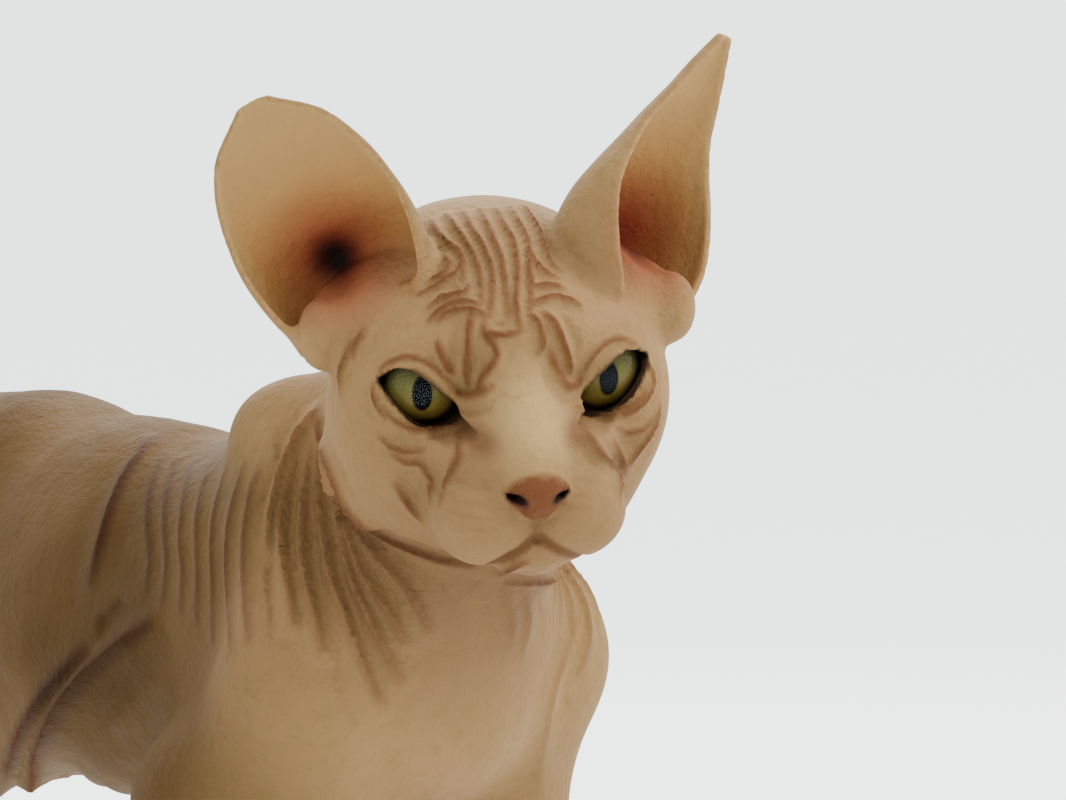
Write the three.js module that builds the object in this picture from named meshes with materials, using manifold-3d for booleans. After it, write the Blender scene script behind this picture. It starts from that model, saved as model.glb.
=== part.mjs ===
// A hairless cat standing on its four paws, life size, as a museum model.
// Millimetres. The cat faces -Y, its left is +X and the floor is z 0.
import * as THREE from "three";
import { mergeVertices } from "three/addons/utils/BufferGeometryUtils.js";
import Module from "manifold-3d";

const solids = await Module();
solids.setup();

const pieceGap = 0.3;
const bodyMiddleY = 108.33;
const bodyMiddleX = -4.95;
const marchStep = 1.5;
const marchReach = 170;
const marchHalvings = 16;
const farAway = 400;

const headPlace = new THREE.Vector3(-20, -138, 258);
const headTurn = -29.5;
const headPitch = 16.7;
const headRoll = -3.7;

const eyeRadius = 11;
const eyeCentre = [22.8, 0.6, 0];
const lidThickness = 1.5;

const frontStride = { left: -14, right: 4 };
const hindStride = { left: 6, right: -12 };

const skin = new THREE.MeshStandardMaterial({ color: 0xb59a7a, roughness: 0.62, metalness: 0 });
const earSkin = new THREE.MeshStandardMaterial({ color: 0xb98a5e, roughness: 0.6, metalness: 0 });
const noseSkin = new THREE.MeshStandardMaterial({ color: 0x9a5a36, roughness: 0.5, metalness: 0 });
const eyeGloss = new THREE.MeshStandardMaterial({ color: 0x6f6a24, roughness: 0.1, metalness: 0 });

// A form is an egg with three half axes, or a taper between two round ends.
// Its blend is the width over which it melts into the others.
function egg(centre, radii, blend) {
  return { centre, radii, blend };
}

function taper(from, to, startRadius, endRadius, blend) {
  return { from, to, startRadius, endRadius, blend };
}

function eggDistance(form, x, y, z) {
  const [cx, cy, cz] = form.centre;
  const [rx, ry, rz] = form.radii;
  const dx = (x - cx) / rx;
  const dy = (y - cy) / ry;
  const dz = (z - cz) / rz;
  const scaled = Math.hypot(dx, dy, dz);
  const slope = Math.hypot(dx / rx, dy / ry, dz / rz);
  if (slope < 1e-6) return -Math.min(rx, ry, rz);
  return scaled * (scaled - 1) / slope;
}

function taperDistance(form, x, y, z) {
  const [ax, ay, az] = form.from;
  const bx = form.to[0] - ax;
  const by = form.to[1] - ay;
  const bz = form.to[2] - az;
  const along = (x - ax) * bx + (y - ay) * by + (z - az) * bz;
  const share = Math.min(Math.max(along / (bx * bx + by * by + bz * bz), 0), 1);
  const radius = form.startRadius + (form.endRadius - form.startRadius) * share;
  return Math.hypot(x - ax - bx * share, y - ay - by * share, z - az - bz * share) - radius;
}

function melt(a, b, width) {
  const overlap = Math.max(width - Math.abs(a - b), 0) / width;
  return Math.min(a, b) - overlap * overlap * width / 4;
}

function meltAll(forms, x, y, z) {
  let nearest = farAway;
  for (const form of forms) {
    const away = form.radii ? eggDistance(form, x, y, z) : taperDistance(form, x, y, z);
    nearest = melt(nearest, away, form.blend);
  }
  return nearest;
}

// The trunk, given for the left half and mirrored.
const trunkForms = [
  egg([0, -38, 181], [45, 66, 53], 14),
  egg([0, 28, 178], [47, 78, 51.5], 14),
  egg([0, 108, 174], [47, 74, 54], 14),
  egg([0, 184, 194], [39, 52, 37], 14),
  taper([0, 26, 202], [0, 78, 206], 24, 26, 14),
  taper([0, 78, 206], [0, 176, 203], 26, 26, 14),
  taper([20, -50, 235], [34, -78, 182], 14, 22, 10),
  taper([36, -80, 172], [42, -44, 138], 21, 19, 14),
  taper([32, -78, 170], [35, -72, 136], 20, 19, 12),
  egg([0, -78, 178], [33, 32, 40], 14),
  egg([33, 176, 176], [25, 44, 44], 16),
  taper([30, 188, 170], [42, 150, 142], 30, 22, 14),
];

// The head, in its own axes: x to the cat's left, y back, z up, from the midpoint of the eyes.
const headForms = [
  egg([0, 31, 6], [36, 38, 27], 8),
  egg([0, 6, 13], [27, 22, 14], 8),
  egg([19, 2, 9], [15, 13, 9], 6),
  egg([28, 12, -8], [15, 24, 20], 9),
  egg([23, 7, -21], [14, 21, 18], 10),
  egg([14, -6, -30], [14, 18, 13], 8),
  egg([13, -13, -12], [11, 12, 10], 6),
  taper([0, -3, 3], [0, -25, -13], 14, 10.5, 6),
  egg([11, -23.5, -27], [13.5, 12.5, 12.5], 4),
  egg([0, -22, -35], [11, 12.5, 8.5], 4),
  egg([0, -34, -16.5], [8, 4.6, 4.2], 3),
  egg([0, -34.5, -20.5], [4.2, 4, 3.8], 2),
  egg([0, 12, -20], [26, 28, 18], 8),
  egg([31, 20, 12], [15, 14, 11], 8),
  egg([45, 14, 9], [6, 7, 9], 5),
];
const rightJowl = egg([-29, 8, -22], [15, 20, 18], 10);
const lidForm = egg(eyeCentre, [1, 1, 1].map((side) => side * (eyeRadius + lidThickness)), 3);

const headFrame = new THREE.Matrix4().makeRotationFromEuler(new THREE.Euler(
  THREE.MathUtils.degToRad(headPitch),
  THREE.MathUtils.degToRad(headRoll),
  THREE.MathUtils.degToRad(headTurn),
  "ZXY",
)).setPosition(headPlace);
const intoHead = headFrame.clone().invert();

function fromHead(x, y, z) {
  return new THREE.Vector3(x, y, z).applyMatrix4(headFrame).toArray();
}

// The neck runs from the chest up to the back of the skull, with the throat in front of it.
const neckForms = [
  taper([0, -52, 200], fromHead(0, 34, -12), 40, 27, 12),
  taper([-4, -82, 186], fromHead(0, 10, -22), 31, 22, 14),
];

function legForms(hip, knee, hock, foot, radii) {
  return [
    taper(hip, knee, radii[0], radii[1], 12),
    taper(knee, hock, radii[1], radii[2], 10),
    taper(hock, foot, radii[2], radii[3], 8),
  ];
}

const frontLegForms = legForms([42, -48, 142], [42, -46, 122], [38, -58, 46], [38, -62, 18], [19, 15, 9.5, 9]);
const hindLegForms = legForms([40, 160, 152], [42, 156, 128], [38, 226, 72], [38, 212, 18], [23, 17, 9, 8.5]);

function pawForms(x, heelY, length, width) {
  const forms = [egg([x, heelY - length * 0.36, 12.5], [width * 0.48, length * 0.42, 13], 6)];
  for (const toe of [-1.5, -0.5, 0.5, 1.5]) {
    const toeY = heelY - length * 0.76 + Math.abs(toe) * 3;
    forms.push(egg([x + toe * width * 0.25, toeY, 8.5], [width * 0.17, length * 0.26, 8.5], 2));
  }
  return forms;
}

const frontPawForms = pawForms(38, -48, 42, 31);
const hindPawForms = pawForms(38, 222, 44, 29);

// A foot set forward or back carries its leg with it, less and less towards the body.
const strideTop = 150;
function strideAt(stride, z) {
  return stride * Math.min(Math.max(1 - z / strideTop, 0), 1);
}

function sideField(forms, side, stride) {
  return (x, y, z) => meltAll(forms, x * side, y - strideAt(stride, z), z);
}

const frontLeft = sideField(frontLegForms, 1, frontStride.left);
const frontRight = sideField(frontLegForms, -1, frontStride.right);
const hindLeft = sideField(hindLegForms, 1, hindStride.left);
const hindRight = sideField(hindLegForms, -1, hindStride.right);
const frontPawLeft = sideField(frontPawForms, 1, frontStride.left);
const frontPawRight = sideField(frontPawForms, -1, frontStride.right);
const hindPawLeft = sideField(hindPawForms, 1, hindStride.left);
const hindPawRight = sideField(hindPawForms, -1, hindStride.right);

const tailPath = new THREE.CatmullRomCurve3([
  [0, 214, 214], [0, 240, 206], [2, 270, 180], [6, 294, 138], [12, 316, 96], [18, 346, 70], [22, 384, 66],
].map((point) => new THREE.Vector3(...point)));
const tailRootRadius = 10;
const tailTipRadius = 2.6;

const trunkField = (x, y, z) => meltAll(trunkForms, Math.abs(x), y, z);
const neckField = (x, y, z) => meltAll(neckForms, x, y, z);
const point = new THREE.Vector3();
function headField(x, y, z) {
  point.set(x, y, z).applyMatrix4(intoHead);
  const half = Math.abs(point.x);
  let away = meltAll(headForms, half, point.y, point.z);
  away = melt(away, eggDistance(rightJowl, point.x, point.y, point.z), rightJowl.blend);
  return melt(away, eggDistance(lidForm, half, point.y, point.z), lidForm.blend);
}

function wholeField(x, y, z) {
  let away = trunkField(x, y, z);
  away = melt(away, neckField(x, y, z), 16);
  away = melt(away, headField(x, y, z), 5);
  for (const leg of [frontLeft, frontRight, hindLeft, hindRight]) {
    away = melt(away, leg(x, y, z), 12);
  }
  for (const paw of [frontPawLeft, frontPawRight, hindPawLeft, hindPawRight]) {
    away = melt(away, paw(x, y, z), 5);
  }
  return away;
}

// Pushes a ray out from the inside of a form to its surface.
function marchOut(field, origin, direction) {
  let near = 0;
  let far = marchStep;
  const at = (reach) => field(
    origin.x + direction.x * reach,
    origin.y + direction.y * reach,
    origin.z + direction.z * reach,
  );
  while (far < marchReach && at(far) < 0) {
    near = far;
    far += marchStep;
  }
  for (let turn = 0; turn < marchHalvings; turn += 1) {
    const middle = (near + far) / 2;
    if (at(middle) < 0) near = middle;
    else far = middle;
  }
  return (near + far) / 2;
}

// Wraps a sphere's vertices round a spine and pushes each out to the surface of the form.
// It takes up to filletLimit more where the form melts into its neighbours.
function wrap(spine, turns, rings, endShare, field, filletLimit = 5, growth = 0) {
  const shape = new THREE.SphereGeometry(1, turns, rings);
  const position = shape.attributes.position;
  const sideways = new THREE.Vector3();
  const upright = new THREE.Vector3();
  const direction = new THREE.Vector3();
  for (let index = 0; index < position.count; index += 1) {
    const height = Math.min(Math.max(position.getY(index), -1), 1);
    const share = Math.acos(height) / Math.PI;
    const around = Math.atan2(position.getZ(index), position.getX(index));
    const inner = Math.min(Math.max((share - endShare) / (1 - 2 * endShare), 0), 1);
    const origin = spine.getPoint(inner);
    const tangent = spine.getTangent(inner);
    let lean = 0;
    if (share < endShare) lean = 1 - share / endShare;
    if (share > 1 - endShare) lean = (1 - endShare - share) / endShare;
    if (share < 1e-5) lean = 1;
    if (share > 1 - 1e-5) lean = -1;
    sideways.set(1, 0, 0).addScaledVector(tangent, -tangent.x).normalize();
    upright.crossVectors(tangent, sideways);
    direction.set(0, 0, 0)
      .addScaledVector(sideways, Math.cos(around) * Math.cos(lean * Math.PI / 2))
      .addScaledVector(upright, Math.sin(around) * Math.cos(lean * Math.PI / 2))
      .addScaledVector(tangent, -Math.sin(lean * Math.PI / 2))
      .normalize();
    const own = marchOut(field, origin, direction);
    const melted = marchOut(wholeField, origin, direction);
    const reach = Math.min(Math.max(own, melted), own + filletLimit) + growth;
    position.setXYZ(
      index,
      origin.x + direction.x * reach,
      origin.y + direction.y * reach,
      origin.z + direction.z * reach,
    );
  }
  return shape;
}

function toSolid(shape) {
  const plain = shape.index ? shape.clone() : mergeVertices(shape.clone());
  plain.deleteAttribute("normal");
  plain.deleteAttribute("uv");
  const joined = mergeVertices(plain, 1e-4);
  return new solids.Manifold(new solids.Mesh({
    numProp: 3,
    vertProperties: new Float32Array(joined.attributes.position.array),
    triVerts: new Uint32Array(joined.index.array),
  }));
}

function line(points) {
  return new THREE.CatmullRomCurve3(points.map((place) => new THREE.Vector3(...place)));
}

const trunkSpine = line([[0, -66, 184], [0, -10, 184], [0, 60, 182], [0, 130, 184], [0, 196, 196]]);
const neckSpine = line([[0, -60, 205], fromHead(0, 28, -6)]);
const headSpine = line([fromHead(0, 26, 0), fromHead(0, 8, -8)]);

function trunkSolid() {
  return toSolid(wrap(trunkSpine, 26, 26, 0.24, trunkField));
}

function neckSolid() {
  return toSolid(wrap(neckSpine, 20, 10, 0.25, neckField));
}

function headSolid(growth = 0) {
  return toSolid(wrap(headSpine, 40, 34, 0.4, headField, 3, growth));
}

function legSolid(forms, field, side, stride) {
  const spine = line([forms[0].from, forms[1].from, forms[2].from, forms[2].to].map(
    ([x, y, z]) => [x * side, y + strideAt(stride, z), z],
  ));
  return toSolid(wrap(spine, 12, 14, 0.12, field));
}

function pawSolid(forms, field, side, stride) {
  const [x, y, z] = forms[0].centre;
  const spine = line([
    [x * side, y + 3 + strideAt(stride, z), z - 2],
    [x * side, y - 8 + strideAt(stride, z), z - 4],
  ]);
  const whole = toSolid(wrap(spine, 16, 10, 0.4, field, 3));
  const underFloor = toSolid(new THREE.BoxGeometry(200, 200, 60).translate(x * side, y, -30));
  return whole.subtract(underFloor);
}

function tailSolid() {
  const shape = new THREE.SphereGeometry(1, 10, 26);
  const position = shape.attributes.position;
  const endShare = 0.04;
  const sideways = new THREE.Vector3();
  const upright = new THREE.Vector3();
  for (let index = 0; index < position.count; index += 1) {
    const share = Math.acos(Math.min(Math.max(position.getY(index), -1), 1)) / Math.PI;
    const around = Math.atan2(position.getZ(index), position.getX(index));
    const inner = Math.min(Math.max((share - endShare) / (1 - 2 * endShare), 0), 1);
    let lean = 0;
    if (share < endShare) lean = 1 - share / endShare;
    if (share > 1 - endShare) lean = (1 - endShare - share) / endShare;
    const origin = tailPath.getPoint(inner);
    const tangent = tailPath.getTangent(inner);
    const radius = tailRootRadius + (tailTipRadius - tailRootRadius) * Math.pow(inner, 0.8);
    sideways.set(1, 0, 0).addScaledVector(tangent, -tangent.x).normalize();
    upright.crossVectors(tangent, sideways);
    const flat = radius * Math.cos(lean * Math.PI / 2);
    origin.addScaledVector(sideways, Math.cos(around) * flat)
      .addScaledVector(upright, Math.sin(around) * flat)
      .addScaledVector(tangent, -Math.sin(lean * Math.PI / 2) * radius);
    position.setXYZ(index, origin.x, origin.y, origin.z);
  }
  return toSolid(shape);
}

// An ear is a thin sheet bent into a cup. Its sections are arcs that open to the face direction,
// nearly closed at the root and flat at the tip.
const earShapes = {
  ear_left: {
    side: 1, root: [32, 18, 15], tip: [62, 30, 74], faceTurn: 40, curl: 0,
    halfWidths: [19, 22.5, 23, 21.5, 18, 14.5, 10.5, 6.5, 2],
    depths: [18, 19, 18, 15, 12, 9, 6, 4, 1.5],
    wrapRoot: 130, wrapTip: 75,
  },
  ear_right: {
    side: -1, root: [32, 18, 13], tip: [60, 22, 64.5], faceTurn: 12, curl: 9,
    halfWidths: [18.5, 21, 22.3, 22.8, 22.3, 21, 18.5, 14, 4],
    depths: [16, 16, 15, 12, 10, 8, 6, 4, 2],
    wrapRoot: 125, wrapTip: 80,
  },
};
const earThickness = 1.8;

function readProfile(values, share) {
  const spot = share * (values.length - 1);
  const index = Math.min(Math.floor(spot), values.length - 2);
  return THREE.MathUtils.lerp(values[index], values[index + 1], spot - index);
}

function earSheet(shape, along, across, offset) {
  const root = new THREE.Vector3(...shape.root);
  const axis = new THREE.Vector3(...shape.tip).sub(root);
  const length = axis.length();
  axis.normalize();
  const turn = THREE.MathUtils.degToRad(shape.faceTurn);
  const face = new THREE.Vector3(Math.sin(turn), -Math.cos(turn), 0);
  face.addScaledVector(axis, -face.dot(axis)).normalize();
  const side = new THREE.Vector3().crossVectors(axis, face);
  const halfWidth = readProfile(shape.halfWidths, along);
  const depth = readProfile(shape.depths, along);
  const opening = Math.min(along * 1.6, 1);
  const arc = THREE.MathUtils.degToRad(THREE.MathUtils.lerp(shape.wrapRoot, shape.wrapTip, opening));
  const angle = across * arc;
  const widest = Math.sin(Math.min(arc, Math.PI / 2));
  return root.addScaledVector(axis, along * length)
    .addScaledVector(side, Math.sin(angle) / widest * (halfWidth + offset))
    .addScaledVector(face, -Math.cos(angle) * (depth + offset) - shape.curl * Math.pow(along, 4));
}

function earSolid(shape) {
  const box = new THREE.BoxGeometry(2, 1, 1, 14, 12, 1);
  const position = box.attributes.position;
  for (let index = 0; index < position.count; index += 1) {
    const offset = position.getZ(index) * earThickness;
    const place = earSheet(shape, position.getY(index) + 0.5, position.getX(index), offset);
    place.x *= shape.side;
    place.applyMatrix4(headFrame);
    position.setXYZ(index, place.x, place.y, place.z);
  }
  let solid = toSolid(box);
  if (solid.volume() < 0) {
    const index = box.index.array;
    for (let corner = 0; corner < index.length; corner += 3) {
      [index[corner + 1], index[corner + 2]] = [index[corner + 2], index[corner + 1]];
    }
    solid = toSolid(box);
  }
  return solid;
}

function eyeball(side, growth) {
  const ball = new THREE.SphereGeometry(eyeRadius + growth, 16, 12);
  ball.translate(eyeCentre[0] * side, eyeCentre[1], eyeCentre[2]);
  return toSolid(ball.applyMatrix4(headFrame));
}

// The slit between the lids: an almond with its inner corner low, cut in from the front.
const lidCorners = { inner: [12.6, -5.4], outer: [34.4, 4.2] };
const lidSteps = 12;
const lidArch = { upper: 6, lower: 6.8, upperPeak: 0.62, lowerPeak: 0.47 };
function lidSlit(side) {
  const [innerX, innerZ] = lidCorners.inner;
  const [outerX, outerZ] = lidCorners.outer;
  const arch = (share, height, peak) => new THREE.Vector2(
    THREE.MathUtils.lerp(innerX, outerX, share),
    THREE.MathUtils.lerp(innerZ, outerZ, share)
      + height * Math.sin(Math.PI * Math.pow(share, Math.log(0.5) / Math.log(peak))),
  );
  const outline = new THREE.Shape();
  outline.moveTo(innerX, innerZ);
  for (let step = 1; step <= lidSteps; step += 1) {
    const place = arch(step / lidSteps, lidArch.upper, lidArch.upperPeak);
    outline.lineTo(place.x, place.y);
  }
  for (let step = lidSteps - 1; step > 0; step -= 1) {
    const place = arch(step / lidSteps, -lidArch.lower, lidArch.lowerPeak);
    outline.lineTo(place.x, place.y);
  }
  const slit = new THREE.ExtrudeGeometry(outline, { depth: 22, bevelEnabled: false });
  slit.rotateX(Math.PI / 2);
  const leftSlit = toSolid(slit);
  const headPose = headFrame.elements;
  return (side < 0 ? leftSlit.mirror([1, 0, 0]) : leftSlit).transform(headPose);
}

// The nose leather, the nostrils, and the groove of the mouth with the short cleft above it.
const noseLeather = egg([0, -39, -18], [9, 6, 5.8], 1);
const nostril = egg([4.6, -38.2, -18.4], [1.7, 4.5, 1.2], 1);
const mouthHalf = [
  [0, -36, -29], [3, -36, -31.5], [8, -33, -35.5], [13, -28, -38.8], [18.5, -19, -41.5], [23, -8, -42],
];
const earCanal = egg([43, 16, 27], [8, 10, 9], 1);
const cleft = [[0, -38, -22], [0, -38, -25.5], [0, -37, -29.5]];
const grooveRadius = 0.9;

function eggSolid(form, side, growth) {
  const shape = new THREE.SphereGeometry(1, 12, 8);
  shape.scale(form.radii[0] + growth, form.radii[1] + growth, form.radii[2] + growth);
  shape.translate(form.centre[0] * side, form.centre[1], form.centre[2]);
  return toSolid(shape.applyMatrix4(headFrame));
}

function onFace([x, y, z]) {
  const origin = new THREE.Vector3(0, 0, -24).applyMatrix4(headFrame);
  const direction = new THREE.Vector3(x, y, z + 24).transformDirection(headFrame);
  const reach = marchOut(headField, origin, direction);
  return origin.addScaledVector(direction, reach);
}

function grooveSolid(places, steps) {
  const path = new THREE.CatmullRomCurve3(places.map(onFace));
  const section = new THREE.Shape().absarc(0, 0, grooveRadius, 0, Math.PI * 2);
  return toSolid(new THREE.ExtrudeGeometry(section, {
    steps, extrudePath: path, curveSegments: 4, bevelEnabled: false,
  }));
}

// The whole cat, then the flat parting planes between its pieces.
let whole = trunkSolid().add(neckSolid()).add(headSolid()).add(tailSolid());
for (const [forms, paws, field, pawField, side, stride] of [
  [frontLegForms, frontPawForms, frontLeft, frontPawLeft, 1, frontStride.left],
  [frontLegForms, frontPawForms, frontRight, frontPawRight, -1, frontStride.right],
  [hindLegForms, hindPawForms, hindLeft, hindPawLeft, 1, hindStride.left],
  [hindLegForms, hindPawForms, hindRight, hindPawRight, -1, hindStride.right],
]) {
  whole = whole.add(legSolid(forms, field, side, stride)).add(pawSolid(paws, pawField, side, stride));
}

// A block on the far side of a plane through a point, on the side its normal points to.
const blockSize = 900;
function blockBeyond(place, normal, growth) {
  const block = new THREE.BoxGeometry(blockSize, blockSize, blockSize);
  block.translate(0, 0, blockSize / 2 - growth);
  const up = new THREE.Vector3(0, 0, 1);
  const turn = new THREE.Quaternion().setFromUnitVectors(up, normal.clone().normalize());
  block.applyQuaternion(turn);
  return toSolid(block.translate(place.x, place.y, place.z));
}

// A wedge that takes a leg off the trunk: below a slope that rises outwards, between two heights of Y.
function legWedge(side, innerX, innerZ, outerX, outerZ, frontY, backY, growth) {
  const outline = new THREE.Shape();
  outline.moveTo(innerX - growth, -20);
  outline.lineTo(innerX - growth, innerZ + growth);
  outline.lineTo(outerX, outerZ + growth);
  outline.lineTo(outerX, -20);
  const depth = backY - frontY + 2 * growth;
  const wedge = new THREE.ExtrudeGeometry(outline, { depth, bevelEnabled: false });
  wedge.rotateX(Math.PI / 2);
  wedge.translate(0, backY + growth, 0);
  const turned = side > 0 ? wedge : wedge.rotateZ(Math.PI).translate(0, frontY + backY, 0);
  return toSolid(turned);
}

const group = new THREE.Group();
group.position.set(-bodyMiddleX, -bodyMiddleY, 0);

function addNode(name, solid, material) {
  const parts = solid.decompose();
  parts.sort((a, b) => b.volume() - a.volume());
  const mesh = parts[0].getMesh();
  const shape = new THREE.BufferGeometry();
  shape.setAttribute("position", new THREE.BufferAttribute(new Float32Array(mesh.vertProperties), 3));
  shape.setIndex(new THREE.BufferAttribute(new Uint32Array(mesh.triVerts), 1));
  const node = new THREE.Mesh(shape, material);
  node.name = name;
  group.add(node);
}

// Takes the part inside a region off the whole and leaves the gap behind.
function takeOff(inside, grown) {
  const piece = whole.intersect(inside);
  whole = whole.subtract(grown);
  return piece;
}

const pawTop = 23;
const legPlaces = [
  ["front_left", 1, 22, 131, 72, 170, -120, 14],
  ["front_right", -1, 22, 131, 72, 170, -120, 14],
  ["hind_left", 1, 13, 117, 72, 178, 124, 262],
  ["hind_right", -1, 13, 117, 72, 178, 124, 262],
];
for (const [name, ...place] of legPlaces) {
  const leg = takeOff(legWedge(...place, 0), legWedge(...place, pieceGap));
  const up = new THREE.Vector3(0, 0, 1);
  addNode("leg_" + name, leg.intersect(blockBeyond(new THREE.Vector3(0, 0, pawTop + pieceGap), up, 0)), skin);
  addNode("paw_" + name, leg.subtract(blockBeyond(new THREE.Vector3(0, 0, pawTop), up, 0)), skin);
}

const backwards = new THREE.Vector3(0, 1, 0);
for (const [name, start] of [["tail_3", 322], ["tail_2", 272], ["tail_1", 238], ["belly", 44]]) {
  const place = new THREE.Vector3(0, start, 0);
  addNode(name, takeOff(blockBeyond(place, backwards, 0), blockBeyond(place, backwards, pieceGap)), skin);
}

const neckPlane = {
  place: new THREE.Vector3(...fromHead(0, 12, -42)),
  normal: new THREE.Vector3(0, -0.55, 0.83),
};
neckPlane.normal.transformDirection(headFrame);
const chestPlane = {
  place: new THREE.Vector3(-1, -78, 232),
  normal: new THREE.Vector3(0, -0.68, 0.74),
};

let head = takeOff(
  blockBeyond(neckPlane.place, neckPlane.normal, 0),
  blockBeyond(neckPlane.place, neckPlane.normal, pieceGap),
);
addNode("neck", takeOff(
  blockBeyond(chestPlane.place, chestPlane.normal, 0),
  blockBeyond(chestPlane.place, chestPlane.normal, pieceGap),
), skin);
addNode("chest", whole, skin);

const openings = grooveSolid(mouthHalf, 14)
  .add(grooveSolid(mouthHalf.map(([x, y, z]) => [-x, y, z]), 14))
  .add(grooveSolid(cleft, 4))
  .add(eggSolid(nostril, 1, 0))
  .add(eggSolid(nostril, -1, 0));
addNode("nose", head.intersect(eggSolid(noseLeather, 1, 0)).subtract(openings), noseSkin);
head = head.subtract(eggSolid(noseLeather, 1, pieceGap)).subtract(openings);
for (const side of [1, -1]) {
  head = head.subtract(eyeball(side, pieceGap)).subtract(lidSlit(side));
  head = head.subtract(eggSolid(earCanal, side, 0));
  addNode(side > 0 ? "eye_left" : "eye_right", eyeball(side, 0), eyeGloss);
}
addNode("head", head, skin);

const headGrown = headSolid(pieceGap);
for (const [name, shape] of Object.entries(earShapes)) {
  addNode(name, earSolid(shape).subtract(headGrown), earSkin);
}

export default group;
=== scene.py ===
import math
import time

import bmesh
import bpy
import numpy as np
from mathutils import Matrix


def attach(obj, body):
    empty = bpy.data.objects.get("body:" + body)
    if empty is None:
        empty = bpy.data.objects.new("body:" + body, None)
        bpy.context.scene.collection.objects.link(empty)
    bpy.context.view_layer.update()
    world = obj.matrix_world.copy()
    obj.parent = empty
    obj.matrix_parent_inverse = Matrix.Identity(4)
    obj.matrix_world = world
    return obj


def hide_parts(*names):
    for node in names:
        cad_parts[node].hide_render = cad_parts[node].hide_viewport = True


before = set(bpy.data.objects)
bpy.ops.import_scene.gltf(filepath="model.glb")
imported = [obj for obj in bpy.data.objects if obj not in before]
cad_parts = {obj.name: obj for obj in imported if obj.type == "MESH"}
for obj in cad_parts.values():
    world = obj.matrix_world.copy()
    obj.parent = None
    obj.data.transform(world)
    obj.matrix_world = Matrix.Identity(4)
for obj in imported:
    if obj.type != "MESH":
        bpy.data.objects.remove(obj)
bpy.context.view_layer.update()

import openvdb
from mathutils import Matrix, Vector
from mathutils.bvhtree import BVHTree
from mathutils.kdtree import KDTree

startTime = time.time()


def note(stage):
    print(stage, round(time.time() - startTime, 1), "s")


# Lengths below are millimetres in the modelling frame: body facing -Y, floor at z 0.
millimetre = 0.001
originShift = np.array([4.95, -108.33, 0.0])
gridStep = 1.0

# how wide each form melts into the body or is cut out of it
blends = {
    "neck": 16, "head": 5, "ear": 4, "leg": 12, "paw": 5, "tail": 8,
    "groove": 1.2, "nostril": 0.8, "canal": 4, "slit": 1.0, "socket": 0.3,
}

# The forms of the body, the same sizes as the solids
head = {"place": (-20, -138, 258), "turn": -29.5, "pitch": 16.7, "roll": -3.7}
headTurn = (
    Matrix.Rotation(math.radians(head["turn"]), 3, "Z")
    @ Matrix.Rotation(math.radians(head["pitch"]), 3, "X")
    @ Matrix.Rotation(math.radians(head["roll"]), 3, "Y")
)
headAxes = np.array(headTurn)
headPlace = np.array(head["place"], float)


def fromHead(x, y, z):
    return tuple(headAxes @ np.array([x, y, z], float) + headPlace)


def egg(centre, radii, blend):
    return {"centre": centre, "radii": radii, "blend": blend}


def taper(start, end, startRadius, endRadius, blend):
    return {"start": start, "end": end, "radii": (startRadius, endRadius), "blend": blend}


# the forms of one side: x is taken without its sign
trunkForms = [
    egg((0, -38, 181), (45, 66, 53), 14),
    egg((0, 28, 178), (47, 78, 51.5), 14),
    egg((0, 108, 174), (47, 74, 54), 14),
    egg((0, 184, 194), (39, 52, 37), 14),
    taper((0, 26, 202), (0, 78, 206), 24, 26, 14),
    taper((0, 78, 206), (0, 176, 203), 26, 26, 14),
    taper((20, -50, 235), (34, -78, 182), 14, 22, 10),
    taper((36, -80, 172), (42, -44, 138), 21, 19, 14),
    taper((32, -78, 170), (35, -72, 136), 20, 19, 12),
    egg((0, -78, 178), (33, 32, 40), 14),
    egg((33, 176, 176), (25, 44, 44), 16),
    taper((30, 188, 170), (42, 150, 142), 30, 22, 14),
]
# in the head's own axes, from the midpoint of the eyes
headForms = [
    egg((0, 31, 6), (36, 38, 27), 8),
    egg((0, 6, 13), (27, 22, 14), 8),
    egg((19, 2, 9), (15, 13, 9), 6),
    egg((28, 12, -8), (15, 24, 20), 9),
    egg((23, 7, -21), (14, 21, 18), 10),
    egg((14, -6, -30), (14, 18, 13), 8),
    egg((13, -13, -12), (11, 12, 10), 6),
    taper((0, -3, 3), (0, -25, -13), 14, 10.5, 6),
    egg((11, -23.5, -27), (13.5, 12.5, 12.5), 4),
    egg((0, -22, -35), (11, 12.5, 8.5), 4),
    egg((0, -34, -16.5), (8, 4.6, 4.2), 3),
    egg((0, -34.5, -20.5), (4.2, 4, 3.8), 2),
    egg((0, 12, -20), (26, 28, 18), 8),
    egg((31, 20, 12), (15, 14, 11), 8),
    egg((45, 14, 9), (6, 7, 9), 5),
]
rightJowl = egg((-29, 8, -22), (15, 20, 18), 10)
eye = {"centre": (22.8, 0.6, 0), "radius": 11.0, "lid": 1.5, "room": 0.15, "inset": 0.25}
headForms.append(egg(eye["centre"], (eye["radius"] + eye["lid"],) * 3, 3))
neckForms = [
    taper((0, -52, 200), fromHead(0, 34, -12), 40, 27, 12),
    taper((-4, -82, 186), fromHead(0, 10, -22), 31, 22, 14),
]


def legForms(hip, knee, hock, foot, radii):
    return [
        taper(hip, knee, radii[0], radii[1], 12),
        taper(knee, hock, radii[1], radii[2], 10),
        taper(hock, foot, radii[2], radii[3], 8),
    ]


def pawForms(x, heelY, length, width):
    forms = [egg((x, heelY - length * 0.36, 12.5), (width * 0.48, length * 0.42, 13), 6)]
    for toe in (-1.5, -0.5, 0.5, 1.5):
        toeY = heelY - length * 0.76 + abs(toe) * 3
        forms.append(egg((x + toe * width * 0.25, toeY, 8.5), (width * 0.17, length * 0.26, 8.5), 2))
    return forms


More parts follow.
